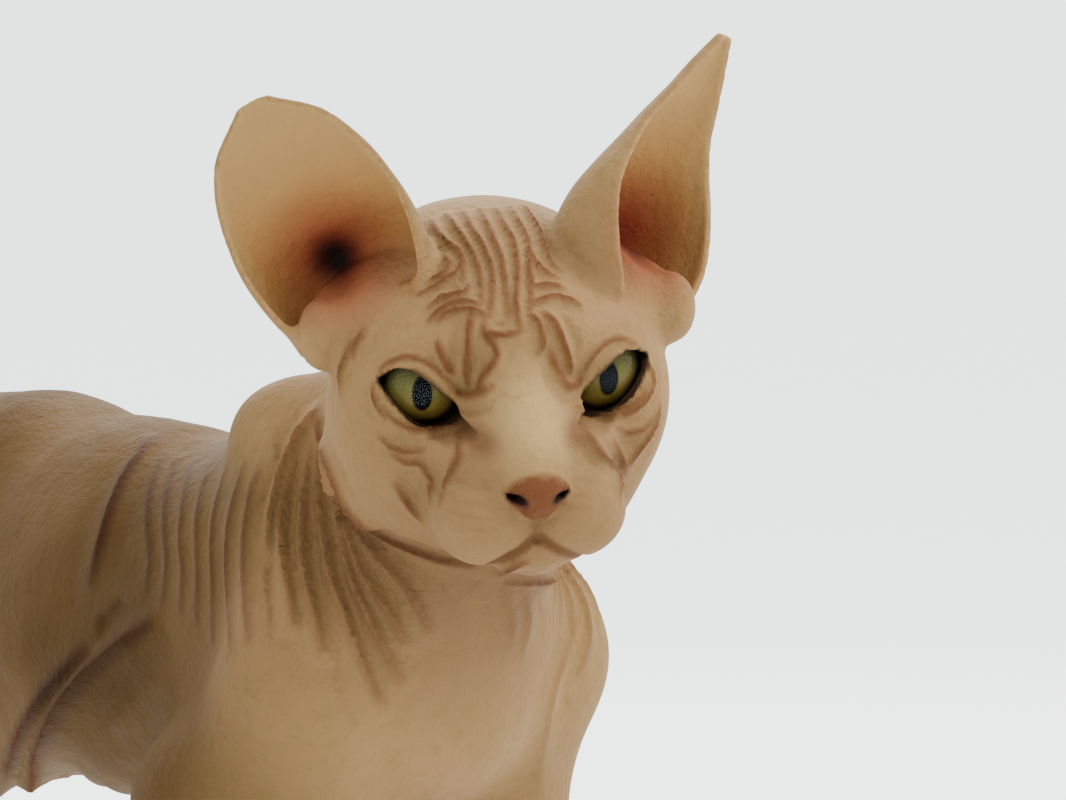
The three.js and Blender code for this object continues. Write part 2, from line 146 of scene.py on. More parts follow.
frontLeg = legForms((42, -48, 142), (42, -46, 122), (38, -58, 46), (38, -62, 18), (19, 15, 9.5, 9))
hindLeg = legForms((40, 160, 152), (42, 156, 128), (38, 226, 72), (38, 212, 18), (23, 17, 9, 8.5))
frontPaw = pawForms(38, -48, 42, 31)
hindPaw = pawForms(38, 222, 44, 29)
# each with its side and how far back its foot is put
limbs = [
    (frontLeg, frontPaw, 1, -14), (frontLeg, frontPaw, -1, 4),
    (hindLeg, hindPaw, 1, 6), (hindLeg, hindPaw, -1, -12),
]
strideTop = 150
limbRoom = {"inward": -5, "top": 190, "frontEnd": 30, "hindStart": 80}
tail = {
    "path": [
        (0, 214, 214), (0, 240, 206), (2, 270, 180), (6, 294, 138),
        (12, 316, 96), (18, 346, 70), (22, 384, 66),
    ],
    "rootRadius": 10, "tipRadius": 2.6, "steps": 24, "start": 190,
}


def eggDistance(form, x, y, z):
    (cx, cy, cz), (rx, ry, rz) = form["centre"], form["radii"]
    dx, dy, dz = (x - cx) / rx, (y - cy) / ry, (z - cz) / rz
    scaled = np.sqrt(dx * dx + dy * dy + dz * dz)
    slope = np.sqrt((dx / rx) ** 2 + (dy / ry) ** 2 + (dz / rz) ** 2)
    return scaled * (scaled - 1) / np.maximum(slope, 1e-6)


def taperDistance(form, x, y, z):
    (ax, ay, az), end = form["start"], form["end"]
    bx, by, bz = end[0] - ax, end[1] - ay, end[2] - az
    share = np.clip(((x - ax) * bx + (y - ay) * by + (z - az) * bz) / (bx * bx + by * by + bz * bz), 0, 1)
    radius = form["radii"][0] + (form["radii"][1] - form["radii"][0]) * share
    dx, dy, dz = x - ax - bx * share, y - ay - by * share, z - az - bz * share
    return np.sqrt(dx ** 2 + dy ** 2 + dz ** 2) - radius


def melt(a, b, width):
    overlap = np.maximum(width - np.abs(a - b), 0) / width
    return np.minimum(a, b) - overlap * overlap * width / 4


def carve(a, b, width):
    return -melt(-a, b, width)


def meltAll(forms, x, y, z):
    nearest = None
    for form in forms:
        away = eggDistance(form, x, y, z) if "centre" in form else taperDistance(form, x, y, z)
        nearest = away if nearest is None else melt(nearest, away, form["blend"])
    return nearest


def intoHead(points):
    return (points - headPlace) @ headAxes


# A smooth curve through the control points, at even shares.
def curvePoints(controls, count):
    controls = np.array(controls, float)
    padded = np.vstack([2 * controls[0] - controls[1], controls, 2 * controls[-1] - controls[-2]])
    spots = np.linspace(0, len(controls) - 1, count)
    index = np.minimum(spots.astype(int), len(controls) - 2)
    t = (spots - index)[:, None]
    p0, p1, p2, p3 = (padded[index + step] for step in range(4))
    square, cube = 2 * p0 - 5 * p1 + 4 * p2 - p3, 3 * p1 - p0 - 3 * p2 + p3
    return 0.5 * (2 * p1 + (p2 - p0) * t + square * t ** 2 + cube * t ** 3)


tailLine = curvePoints(tail["path"], tail["steps"] + 1)
tailShare = np.linspace(0, 1, tail["steps"] + 1)
tailRadii = tail["rootRadius"] + (tail["tipRadius"] - tail["rootRadius"]) * tailShare ** 0.8
tailForms = [
    taper(tuple(tailLine[i]), tuple(tailLine[i + 1]), tailRadii[i], tailRadii[i + 1], 2)
    for i in range(tail["steps"])
]

# The lids: an almond between two arches, inner corner low
lid = {
    "inner": (12.6, -5.4), "outer": (34.4, 4.2), "upper": 6.2, "lower": 7.5,
    "upperPeak": 0.62, "lowerPeak": 0.47, "slope": 0.75, "depth": 4,
}


def arch(share, peak):
    return np.sin(np.pi * share ** (math.log(0.5) / math.log(peak)))


def lidHeights(x):
    (xi, zi), (xo, zo) = lid["inner"], lid["outer"]
    share = np.clip((x - xi) / (xo - xi), 0, 1)
    base = zi + (zo - zi) * share
    upper = base + lid["upper"] * arch(share, lid["upperPeak"])
    lower = base - lid["lower"] * arch(share, lid["lowerPeak"])
    return upper, lower


def slitDistance(x, y, z):
    upper, lower = lidHeights(x)
    beyond = np.maximum(lid["inner"][0] - x, x - lid["outer"][0])
    aside = np.maximum(np.maximum(z - upper, lower - z) * lid["slope"], beyond)
    return np.maximum(aside, y - lid["depth"])


# The ears: a thin sheet bent into a cup
earShapes = {
    "left": {
        "side": 1, "root": (32, 18, 15), "tip": (62, 30, 74), "faceTurn": 40, "curl": 0,
        "halfWidths": (19, 22.5, 23, 21.5, 18, 14.5, 10.5, 6.5, 2),
        "depths": (18, 19, 18, 15, 12, 9, 6, 4, 1.5), "wrap": (130, 75),
    },
    "right": {
        "side": -1, "root": (32, 18, 13), "tip": (60, 22, 64.5), "faceTurn": 12, "curl": 9,
        "halfWidths": (18.5, 21, 22.3, 22.8, 22.3, 21, 18.5, 14, 4),
        "depths": (16, 16, 15, 12, 10, 8, 6, 4, 2), "wrap": (125, 80),
    },
}
earLook = {
    "thickness": 1.8, "rows": 70, "columns": 60, "profileSteps": 81,
    "wrapRate": 1.6, "curlPower": 4, "clear": 4.0, "snap": 1.5, "near": 4.0,
}


def smoothProfile(values, shares):
    table = curvePoints([(value, 0) for value in values], earLook["profileSteps"])[:, 0]
    return np.interp(shares, np.linspace(0, 1, earLook["profileSteps"]), table)


def earSheet(shape, along, across):
    root = np.array(shape["root"], float)
    axis = np.array(shape["tip"], float) - root
    length = np.linalg.norm(axis)
    axis /= length
    turn = math.radians(shape["faceTurn"])
    face = np.array([math.sin(turn), -math.cos(turn), 0])
    face -= axis * (face @ axis)
    face /= np.linalg.norm(face)
    side = np.cross(axis, face)
    halfWidth = smoothProfile(shape["halfWidths"], along)
    depth = smoothProfile(shape["depths"], along)
    rootWrap, tipWrap = shape["wrap"]
    arc = np.radians(rootWrap + (tipWrap - rootWrap) * np.minimum(along * earLook["wrapRate"], 1))
    widest = np.sin(np.minimum(arc, np.pi / 2))
    sideways = np.sin(across * arc) / widest * halfWidth
    forward = -np.cos(across * arc) * depth - shape["curl"] * along ** earLook["curlPower"]
    local = root + along[..., None] * length * axis + sideways[..., None] * side + forward[..., None] * face
    local[..., 0] *= shape["side"]
    return local @ headAxes.T + headPlace


def earTree(shape):
    rows, columns = earLook["rows"], earLook["columns"]
    along, across = np.meshgrid(np.linspace(0, 1, rows), np.linspace(-1, 1, columns), indexing="ij")
    points = earSheet(shape, along, across).reshape(-1, 3)
    faces = []
    for i in range(rows - 1):
        for j in range(columns - 1):
            k = i * columns + j
            faces.append((k, k + 1, k + columns + 1, k + columns))
    return {
        "tree": BVHTree.FromPolygons([tuple(p) for p in points], faces), "points": points,
        "low": points.min(0), "high": points.max(0), "side": shape["side"],
    }


ears = {name: earTree(shape) for name, shape in earShapes.items()}


def earDistance(ear, points, reach=9.0):
    away = np.full(len(points), reach)
    near = np.flatnonzero(np.all((points > ear["low"] - reach) & (points < ear["high"] + reach), axis=1))
    find = ear["tree"].find_nearest
    for index in near:
        hit = find(points[index], reach)
        if hit[3] is not None:
            away[index] = hit[3]
    return away - earLook["thickness"] / 2


mouth = {
    "half": [
        (0, -36, -29), (3, -36, -31.5), (8, -34, -35.5), (13, -29, -38.8), (18.5, -20, -41.5), (23, -9, -42),
    ],
    "cleft": [(0, -39, -22), (0, -38.5, -25.5), (0, -37, -29.5)], "radius": 0.8, "cleftRadius": 0.55,
}
nostril = {
    "bore": ((4.2, -42, -19.4), (6.2, -33, -17.0)), "boreRadius": 1.5,
    "slit": ((5.6, -39.5, -17.4), (10.5, -34, -14.2)), "slitRadius": 0.7,
}
earCanal = [egg((44, 13, 31), (8.5, 12, 11), 5), egg((41, 20, 25), (6, 7, 7.5), 4)]


def tubeDistance(line, radius, x, y, z):
    away = None
    for start, end in zip(line[:-1], line[1:]):
        piece = taperDistance(taper(tuple(start), tuple(end), radius, radius, 1), x, y, z)
        away = piece if away is None else np.minimum(away, piece)
    return away


# Cuts the mouth, the cleft and the nostrils into the head.
def carveFeatures(away, half, y, z):
    for line, radius in grooves:
        away = carve(away, tubeDistance(line, radius, half, y, z), blends["groove"])
    for part in ("bore", "slit"):
        hole = tubeDistance(nostril[part], nostril[part + "Radius"], half, y, z)
        away = carve(away, hole, blends["nostril"])
    return away


def bareHead(points):
    return meltAll(headForms, np.abs(points[:, 0]), points[:, 1], points[:, 2])


# Moves points to the surface of a field along its slope.
def settle(points, field, turns=6):
    points = np.array(points, float)
    for _ in range(turns):
        slope = gradient(points, field)
        points -= slope * (field(points) / np.maximum((slope ** 2).sum(1), 1e-6))[:, None]
    return points


def gradient(points, field, step=0.25):
    slopes = np.empty_like(points)
    for axis in range(3):
        shift = np.zeros(3)
        shift[axis] = step
        slopes[:, axis] = (field(points + shift) - field(points - shift)) / (2 * step)
    return slopes


grooves = [
    (settle(curvePoints(mouth["half"], 16), bareHead), mouth["radius"]),
    (settle(curvePoints(mouth["cleft"], 5), bareHead), mouth["cleftRadius"]),
]


# boxes in the head's axes, low and high corner, outside which a feature cuts nothing
featureBoxes = {
    "eye": ((-1, -200, -16), (42, 14, 16)),
    "muzzle": ((-1, -52, -49), (32, 2, -9)),
    "canal": ((22, -6, 5), (62, 38, 53)),
}


def inBox(name, *place):
    inside = True
    for low, high, value in zip(*featureBoxes[name], place):
        inside = inside & (value > low) & (value < high)
    return np.flatnonzero(inside)


# Distance to the skin without the ears, negative inside.
def bodyField(points):
    x, y, z = points[:, 0], points[:, 1], points[:, 2]
    away = meltAll(trunkForms, np.abs(x), y, z)
    away = melt(away, meltAll(neckForms, x, y, z), blends["neck"])
    local = intoHead(points)
    half, hy, hz = np.abs(local[:, 0]), local[:, 1], local[:, 2]
    jowlAway = eggDistance(rightJowl, local[:, 0], hy, hz)
    headAway = melt(meltAll(headForms, half, hy, hz), jowlAway, rightJowl["blend"])
    near = inBox("eye", half, hy, hz)
    if len(near):
        socketForm = egg(eye["centre"], (eye["radius"] + eye["room"],) * 3, 1)
        socket = eggDistance(socketForm, half[near], hy[near], hz[near])
        slit = slitDistance(half[near], hy[near], hz[near])
        headAway[near] = carve(carve(headAway[near], slit, blends["slit"]), socket, blends["socket"])
    near = inBox("muzzle", half, hy, hz)
    if len(near):
        headAway[near] = carveFeatures(headAway[near], half[near], hy[near], hz[near])
    near = inBox("canal", half, hy, hz)
    if len(near):
        canal = meltAll(earCanal, half[near], hy[near], hz[near])
        headAway[near] = carve(headAway[near], canal, blends["canal"])
    away = melt(away, headAway, blends["head"])
    for leg, paw, side, stride in limbs:
        alongBody = y < limbRoom["frontEnd"] if leg is frontLeg else y > limbRoom["hindStart"]
        near = np.flatnonzero((x * side > limbRoom["inward"]) & (z < limbRoom["top"]) & alongBody)
        if not len(near):
            continue
        px, pz = x[near] * side, z[near]
        py = y[near] - stride * np.clip(1 - pz / strideTop, 0, 1)
        limb = melt(meltAll(leg, px, py, pz), meltAll(paw, px, py, pz), blends["paw"])
        away[near] = melt(away[near], limb, blends["leg"])
    near = np.flatnonzero(y > tail["start"])
    if len(near):
        tailAway = meltAll(tailForms, x[near], y[near], z[near])
        away[near] = melt(away[near], tailAway, blends["tail"])
    return np.maximum(away, -z)


def skinField(points):
    away = bodyField(points)
    for ear in ears.values():
        away = melt(away, earDistance(ear, points), blends["ear"])
    return away


# The skin's surface, on a grid that is filled in only near it
grid = {"low": (-84.0, -196.0, -6.0), "high": (80.0, 396.0, 352.0), "coarse": 4, "near": 1.15, "far": 20.0}


def skinSurface():
    low, high = np.array(grid["low"]), np.array(grid["high"])
    coarse = gridStep * grid["coarse"]
    counts = np.ceil((high - low) / coarse).astype(int) + 1
    axes = [low[i] + coarse * np.arange(counts[i]) for i in range(3)]
    gx, gy, gz = np.meshgrid(*axes, indexing="ij")
    coarsePoints = np.stack([gx.ravel(), gy.ravel(), gz.ravel()], 1)
    values = skinField(coarsePoints).reshape(counts)
    fine = values
    for axis in range(3):
        length = fine.shape[axis]
        spots = np.arange((length - 1) * grid["coarse"] + 1) / grid["coarse"]
        index = np.minimum(spots.astype(int), length - 2)
        share = (spots - index).reshape([-1 if a == axis else 1 for a in range(3)])
        fine = np.take(fine, index, axis) * (1 - share) + np.take(fine, index + 1, axis) * share
    fine = np.ascontiguousarray(fine, dtype=np.float32)
    near = np.argwhere(np.abs(fine) < coarse * grid["near"])
    fine[tuple(near.T)] = skinField(low + near * gridStep)
    note("field")
    volume = openvdb.FloatGrid(grid["far"])
    volume.copyFromArray(fine)
    points, triangles, quads = volume.convertToPolygons(isovalue=0.0)
    return low + points * gridStep, quads[:, ::-1], triangles


surfacePoints, surfaceQuads, surfaceTriangles = skinSurface()
note(f"surface {len(surfacePoints)} points {len(surfaceQuads)} quads {len(surfaceTriangles)} triangles")


def toWorld(points):
    return (points + originShift) * millimetre


def makeMesh(name, points, faces):
    mesh = bpy.data.meshes.new(name)
    mesh.from_pydata(toWorld(np.asarray(points)).tolist(), [], [tuple(map(int, face)) for face in faces])
    mesh.update()
    piece = bpy.data.objects.new(name, mesh)
    bpy.context.scene.collection.objects.link(piece)
    mesh.polygons.foreach_set("use_smooth", [True] * len(mesh.polygons))
    return piece


# The camera, at the photograph's angle
view = {
    "azimuth": 42, "elevation": 6, "distance": 1300, "offset": (5.96, -6.25),
    "focal": 5200, "width": 1066, "height": 800, "sensor": 36,
}
azimuth, elevation = math.radians(view["azimuth"]), math.radians(view["elevation"])
viewRight = np.array([math.cos(azimuth), -math.sin(azimuth), 0])
viewLevel = np.array([math.sin(azimuth), math.cos(azimuth), 0])
viewLook = viewLevel * math.cos(elevation) - np.array([0, 0, math.sin(elevation)])
viewUp = np.cross(viewRight, viewLook)
viewPlace = headPlace - view["distance"] * viewLook
viewPlace = viewPlace + view["offset"][0] * viewRight + view["offset"][1] * viewUp


def placeCamera():
    camera = bpy.data.objects.new("camera", bpy.data.cameras.new("camera"))
    bpy.context.scene.collection.objects.link(camera)
    axes = Matrix(np.stack([viewRight, viewUp, -viewLook], 1).tolist()).to_4x4()
    camera.matrix_world = Matrix.Translation(toWorld(viewPlace)) @ axes
    camera.data.sensor_width = view["sensor"]
    camera.data.lens = view["focal"] / view["width"] * view["sensor"]
    bpy.context.scene.camera = camera


# how a line of sight is followed to the skin
sight = {"start": 1120.0, "turns": 60, "share": 0.8, "back": -3, "ahead": 30, "touch": 1.0, "end": 1700}


# The skin points seen at picture points, and which of them are on the skin at all.
def seenPoints(spots):
    rays = (
        (spots[:, :1] - view["width"] / 2) * viewRight
        + (view["height"] / 2 - spots[:, 1:]) * viewUp
        + view["focal"] * viewLook
    )
    rays /= np.linalg.norm(rays, axis=1)[:, None]
    reach = np.full(len(spots), sight["start"])
    for _ in range(sight["turns"]):
        away = bodyField(viewPlace + rays * reach[:, None])
        reach += np.clip(away * sight["share"], sight["back"], sight["ahead"])
    onSkin = (np.abs(away) < sight["touch"]) & (reach < sight["end"])
    return viewPlace + rays * reach[:, None], onSkin


# The folds of the bare skin: lines of picture points, with the groove's half width and depth in mm
foldLines = {
    "brow": {"width": 1.3, "depth": 2.6, "lines": [
        [(431, 220), (437, 232), (448, 244), (458, 252), (464, 265), (464, 280)],
        [(446, 214), (455, 227), (463, 239), (471, 252), (477, 265), (481, 282), (482, 305)],
        [(463, 212), (472, 230), (480, 242), (487, 257), (492, 272), (493, 292), (491, 315)],
        [(480, 210), (488, 228), (494, 243), (500, 257), (503, 272), (506, 290), (509, 316)],
        [(495, 209), (504, 226), (512, 241), (516, 258), (517, 275), (516, 298), (518, 318), (522, 332)],
        [(509, 207), (518, 224), (526, 241), (528, 258), (529, 274), (531, 290), (529, 315)],
        [(523, 206), (532, 220), (539, 236), (543, 250), (550, 264), (560, 272)],
        [(527, 246), (533, 261), (542, 272), (558, 279)],
        [(451, 245), (462, 258), (460, 272), (448, 281), (434, 289), (419, 295)],
        [(444, 256), (451, 266), (442, 278), (422, 281), (402, 285)],
        [(470, 284), (466, 293), (455, 296), (441, 300), (430, 308)],
        [(481, 305), (466, 302), (451, 306), (439, 313), (430, 321)],
        [(488, 316), (475, 311), (463, 311), (448, 315), (438, 322)],
        [(530, 306), (541, 301), (554, 298), (569, 301), (580, 306)],
        [(532, 288), (547, 287), (563, 288)],
        [(529, 314), (537, 322), (541, 334), (542, 345), (538, 353)],
        [(486, 330), (494, 334), (506, 335), (522, 331)],
        [(485, 322), (486, 335), (494, 345), (497, 354), (493, 364)],
    ]},
    "frown": {"width": 1.7, "depth": 3.6, "lines": [
        [(472, 317), (470, 332), (469, 350), (467, 366), (469, 383)],
        [(495, 362), (488, 371), (480, 387)],
        [(545, 314), (554, 325), (560, 340), (566, 356), (570, 371)],
        [(549, 352), (553, 366), (557, 378), (563, 388), (573, 385), (583, 376)],
        [(452, 387), (461, 393), (472, 396), (483, 394), (492, 388)],
        [(438, 343), (444, 358), (452, 372)],
    ]},
    "lids": {"width": 1.1, "depth": 1.9, "lines": [
        [(378, 376), (385, 366), (398, 359), (412, 357), (428, 363), (441, 374), (452, 386)],
        [(586, 368), (594, 354), (605, 343), (620, 338), (636, 344)],
        [(577, 407), (592, 413), (613, 416), (632, 411), (645, 400), (652, 386), (651, 370), (641, 356)],
        [(611, 411), (628, 407), (641, 396), (646, 384)],
        [(617, 428), (630, 432), (643, 428), (653, 418)],
        [(383, 408), (396, 421), (412, 429), (431, 432), (446, 429), (458, 425)],
        [(381, 438), (392, 447), (407, 451), (424, 450)],
        [(373, 385), (376, 402), (386, 418)],
        [(392, 454), (405, 462), (419, 463), (429, 472), (433, 486)],
    ]},
    "cheeks": {"width": 1.7, "depth": 2.0, "lines": [
        [(458, 432), (460, 450), (454, 466), (447, 484), (440, 504)],
        [(423, 467), (432, 480), (431, 500)],
        [(396, 485), (410, 505), (422, 520)],
        [(586, 431), (597, 448), (611, 467), (619, 480), (620, 494)],
        [(613, 441), (620, 459), (625, 472)],
        [(660, 407), (652, 428), (639, 448), (626, 467)],
        [(353, 342), (346, 359), (342, 373), (341, 392)],
        [(366, 330), (358, 344), (354, 358)],
        [(500, 574), (511, 567), (526, 562)],
        [(507, 583), (535, 582), (559, 578), (574, 566)],
    ]},
    "pads": {"width": 0.8, "depth": 0.4, "shadeTone": 0.4, "lines": [
        [(450, 476), (468, 486), (490, 490)],
        [(444, 492), (464, 502), (486, 505)],
        [(446, 509), (466, 517), (488, 519)],
        [(456, 524), (474, 531), (494, 532)],
        [(562, 470), (576, 478), (592, 481)],
        [(558, 486), (573, 493), (590, 495)],
        [(558, 500), (571, 507), (586, 508)],
        [(498, 372), (512, 378), (528, 374)],
        [(500, 392), (514, 397), (530, 393)],
    ]},
    "jaw": {"width": 2.4, "depth": 3.0, "lines": [
        [(318, 412), (322, 440), (336, 476), (350, 505), (376, 529), (407, 545), (439, 558), (470, 565)],
    ]},
    "neck": {"width": 2.8, "depth": 5.2, "shadeTone": 0.45, "mirrored": 0.35, "lines": [
        [(324, 445), (333, 480), (343, 510), (350, 545), (354, 575), (364, 603), (380, 640), (400, 680)],
        [(319, 450), (321, 479), (324, 515), (328, 547), (333, 579),
         (345, 620), (356, 652), (369, 682), (380, 702)],
        [(314, 445), (309, 482), (305, 515), (304, 552), (308, 584), (314, 616), (321, 650)],
        [(308, 432), (294, 476), (286, 515), (286, 552), (290, 589), (294, 625)],
        [(346, 512), (365, 538), (386, 558), (407, 581), (420, 604), (430, 628)],
        [(335, 500), (352, 530), (362, 555), (372, 582), (390, 610), (405, 640)],
        [(316, 412), (303, 437), (288, 470), (276, 510), (270, 545)],
    ]},
    "armpit": {"width": 4.5, "depth": 7.5, "shadeTone": 0.75, "mirrored": 0.3, "lines": [
        [(150, 625), (128, 642), (108, 659), (89, 676), (68, 700), (52, 729), (38, 760), (27, 793)],
    ]},
    "flank": {"width": 4.0, "depth": 2.8, "mirrored": 0.4, "lines": [
        [(84, 650), (63, 672), (36, 707), (17, 743), (4, 781)],
        [(150, 440), (129, 474), (115, 507), (104, 540), (92, 580)],
    ]},
    "shoulder": {"width": 2.6, "depth": 1.3, "mirrored": 0.9, "lines": [
        [(163, 455), (152, 490), (149, 520), (151, 556), (147, 592)],
        [(177, 462), (168, 495), (166, 530), (168, 565), (163, 600)],
        [(193, 465), (185, 500), (182, 535), (184, 570), (181, 610)],
        [(209, 468), (200, 505), (198, 540), (199, 575), (197, 620)],
        [(226, 468), (216, 508), (213, 545), (214, 585), (213, 640)],
        [(242, 470), (232, 510), (228, 550), (229, 600), (231, 650)],
        [(258, 470), (250, 500), (245, 540), (245, 590), (248, 640)],
    ]},
    "chest": {"width": 3.5, "depth": 1.6, "shadeTone": 0.3, "lines": [
        [(585, 600), (570, 640), (553, 690), (544, 740), (537, 790)],
        [(505, 590), (512, 620), (510, 650)],
        [(525, 590), (527, 620), (522, 655)],
    ]},
}


# Every fold as points on the skin, each with its width and its depth, which fades at both ends.
def foldSamples():
    spots, sizes = [], []
    for family in foldLines.values():
        for line in family["lines"]:
            length = sum(math.dist(a, b) for a, b in zip(line[:-1], line[1:]))
            count = max(8, int(length / 2))
            fade = np.sin(np.linspace(0.12, np.pi - 0.12, count)) ** 0.6
            spots.append(curvePoints(line, count))
            sizes.append(np.column_stack([
                np.full(count, family["width"]), family["depth"] * fade,
                np.full(count, family.get("mirrored", 0)), np.full(count, family.get("shadeTone", 1)),
            ]))
    points, seen = seenPoints(np.vstack(spots))
    rows = np.column_stack([points, np.vstack(sizes)])[seen]
    other = rows[rows[:, 5] > 0]
    other[:, 0] *= -1
    other[:, 4] *= other[:, 5]
    other[:, :3] = settle(other[:, :3], bodyField, 4)
    return np.vstack([rows, other])


# Smooth noise of about unit size from a few turned sine waves.
def waves(points, parts):
    total = np.zeros(len(points))
    for index, (length, weight) in enumerate(parts):
        axis = Vector((0.4 + index, 1.0, 0.7 - 0.3 * index)).normalized()
        turned = points @ np.array(Matrix.Rotation(1.3 * index + 0.7, 3, axis)) / length
        bent = np.sin(turned[:, 0] + 1.7 * np.sin(turned[:, 1] * 0.8))
        total += weight * bent * np.cos(turned[:, 2] + 1.1 * np.sin(turned[:, 0] * 0.7))
    return total


# For points close to an ear's sheet: the nearest point on it, how far off it is,
# its place along and across the sheet, and the ear's side.
def nearEar(points):
    reach, rows = earLook["near"], []
    for ear in ears.values():
        near = np.flatnonzero(np.all((points > ear["low"] - reach) & (points < ear["high"] + reach), axis=1))
        for index in near:
            spot, _, face, away = ear["tree"].find_nearest(points[index], reach)
            if spot is None:
                continue
            row, column = divmod(face, earLook["columns"] - 1)
            along = row / (earLook["rows"] - 2)
            across = column / (earLook["columns"] - 2) * 2 - 1
            rows.append((index, *spot, away, along, across, ear["side"]))
    return np.array(rows)


surfacePoints = np.array(surfacePoints, float)
earRows = nearEar(surfacePoints)
earIndex = earRows[:, 0].astype(int)
earSpots, earAway = earRows[:, 1:4], earRows[:, 4]
earAlong, earAcross, earSide = earRows[:, 5:].T

# the grid's points are moved onto the true surface, where it is smooth enough
settling = {"onBody": 0.6, "reach": 0.5, "leastSlope": 0.8}
bodyAway = bodyField(surfacePoints)
onBody = bodyAway < settling["onBody"]
calm = onBody & (np.abs(bodyAway) < settling["reach"])
slopes = gradient(surfacePoints[calm], bodyField)
steepness = np.maximum(np.linalg.norm(slopes, axis=1), settling["leastSlope"])
surfacePoints[calm] -= slopes * (bodyAway[calm] / steepness ** 2)[:, None]
nearSheet = np.abs(earAway - earLook["thickness"] / 2) < earLook["snap"]
free = (bodyAway[earIndex] > earLook["clear"]) & nearSheet
outward = surfacePoints[earIndex[free]] - earSpots[free]
outward /= np.maximum(np.linalg.norm(outward, axis=1), 1e-6)[:, None]
surfacePoints[earIndex[free]] = earSpots[free] + outward * earLook["thickness"] / 2
note("settled")

skinPiece = makeMesh("skin", surfacePoints, list(surfaceQuads) + list(surfaceTriangles))
normals = np.empty(len(surfacePoints) * 3)
skinPiece.data.vertices.foreach_get("normal", normals)
normals = normals.reshape(-1, 3)
note("skin mesh")

samples = foldSamples()
note(f"folds {len(samples)}")
foldTree = KDTree(len(samples))
for index, row in enumerate(samples):
    foldTree.insert(row[:3], index)
foldTree.balance()

# a fold is a sharp groove with a low ridge on each side, and its bottom is painted darker as painted shade
foldLook = {"reach": 4, "sharp": 0.8, "ridgePlace": 2.1, "ridge": 0.3, "margin": 12}
creaseShadeLook = {"edge": 0.35, "wide": 0.75, "fade": 0.65, "least": 0.35, "byDepth": 0.3}
creaseShade = np.zeros(len(surfacePoints))
shift = np.zeros(len(surfacePoints))
low, high = samples[:, :3].min(0) - foldLook["margin"], samples[:, :3].max(0) + foldLook["margin"]
inReach = np.all((surfacePoints > low) & (surfacePoints < high), axis=1)
for index in np.flatnonzero(inReach & onBody):
    _, nearest, away = foldTree.find(surfacePoints[index])
    width, depth, _, shadeTone = samples[nearest, 3:]
    if away > foldLook["reach"] * width:
        continue
    groove = math.exp(-away / (foldLook["sharp"] * width)) * (1 - away / (foldLook["reach"] * width))
    ridge = math.exp(-((away - foldLook["ridgePlace"] * width) / width) ** 2)
    shift[index] = depth * (foldLook["ridge"] * ridge - groove)
    # painted shade: how dark the bottom of the fold is painted
    dark = (creaseShadeLook["edge"] + creaseShadeLook["wide"] * width - away) / (creaseShadeLook["fade"] * width)
    creaseShade[index] = min(max(dark, 0), 1) * min(creaseShadeLook["least"] + depth * creaseShadeLook["byDepth"], 1) * shadeTone
note("folded")

local = intoHead(surfacePoints)
half = np.abs(local[:, 0])
folded = np.column_stack([half, local[:, 1], local[:, 2]])  # both halves of the head as one
bodyPoints = surfacePoints


def soft(value, start, end):
    return np.clip((value - start) / (end - start), 0, 1)


# One inside a round spot and fading to none at its radius.
def spot(points, centre, radius):
    away = np.linalg.norm((points - np.array(centre)) / np.array(radius), axis=1)
    return 1 - soft(away, 0.35, 1.0)


# Fine relief that covers the body: loose ripples on the trunk, small lines at the joints
relief = {"ripple": 0.22, "band": 0.45, "bandLength": 6.5, "rippleParts": [(4.5, 0.6), (2.6, 0.4)]}
joints = [
    ((44, -40, 128), (22, 26, 22)), ((40, 222, 74), (16, 16, 22)), ((44, 150, 132), (24, 26, 26)),
    ((0, 60, 120), (48, 90, 20)), ((0, 236, 208), (18, 16, 18)),
]
ripples = waves(bodyPoints * [1, 1, 0.35], relief["rippleParts"])
trunkShare = soft(bodyPoints[:, 2], 90, 130) * (1 - soft(-local[:, 1], -70, -30))
oneSide = np.column_stack([np.abs(bodyPoints[:, 0]), bodyPoints[:, 1], bodyPoints[:, 2]])
jointShare = sum(spot(oneSide, place, size) for place, size in joints)
bandPlace = bodyPoints[:, 2] + 0.4 * bodyPoints[:, 1] + 2.5 * waves(bodyPoints, [(9, 1.0)])
bands = np.sin(bandPlace * 2 * np.pi / relief["bandLength"])
rippled = relief["ripple"] * ripples * trunkShare * (bodyAway < 2)
shift += rippled + relief["band"] * bands * np.clip(jointShare, 0, 1)
surfacePoints = surfacePoints + normals * shift[:, None]
surfacePoints[:, 2] = np.maximum(surfacePoints[:, 2], 0)
skinPiece.data.vertices.foreach_set("co", toWorld(surfacePoints).ravel())
skinPiece.data.update()

# Where each colour lies
noseLeather = {"centre": (0, -38.5, -18), "radii": (9.8, 5.4, 6.2), "edge": 0.25}
# the two ways below lead the painted shade into the ear canal
canalShadeWay = {"start": (43, 14, 29), "end": (38, 32, 22), "radius": 4}
deepShadeWay = {"start": (43, 8, 32), "end": (37, 38, 21), "radius": 4}


def wayDistance(way):
    form = taper(way["start"], way["end"], way["radius"], way["radius"], 1)
    return taperDistance(form, half, local[:, 1], local[:, 2])


near = np.flatnonzero((local[:, 1] < 8) & (np.abs(local[:, 2]) < 16) & (half < 44))
rimAway = np.abs(slitDistance(half[near], 0, local[near, 2]))
eyeAway = np.linalg.norm(folded[near] - np.array(eye["centre"]), axis=1)
rim, tear = np.zeros(len(local)), np.zeros(len(local))
rim[near] = (1 - soft(rimAway, 0.5, 1.6)) * (eyeAway < eye["radius"] + 3)
tear[near] = spot(folded[near][:, [0, 2]], (12.5, -6.5), (6, 5)) * (local[near, 1] < 0)
noseAway = np.linalg.norm((folded - noseLeather["centre"]) / noseLeather["radii"], axis=1)
grooveAway = np.minimum(*[tubeDistance(line, 0, half, local[:, 1], local[:, 2]) for line, _ in grooves])
nostrilBore = taper(*nostril["bore"], 1.6, 1.6, 1)
nape = soft(bodyPoints[:, 2], 222, 240) * soft(-bodyPoints[:, 1], 30, 60)
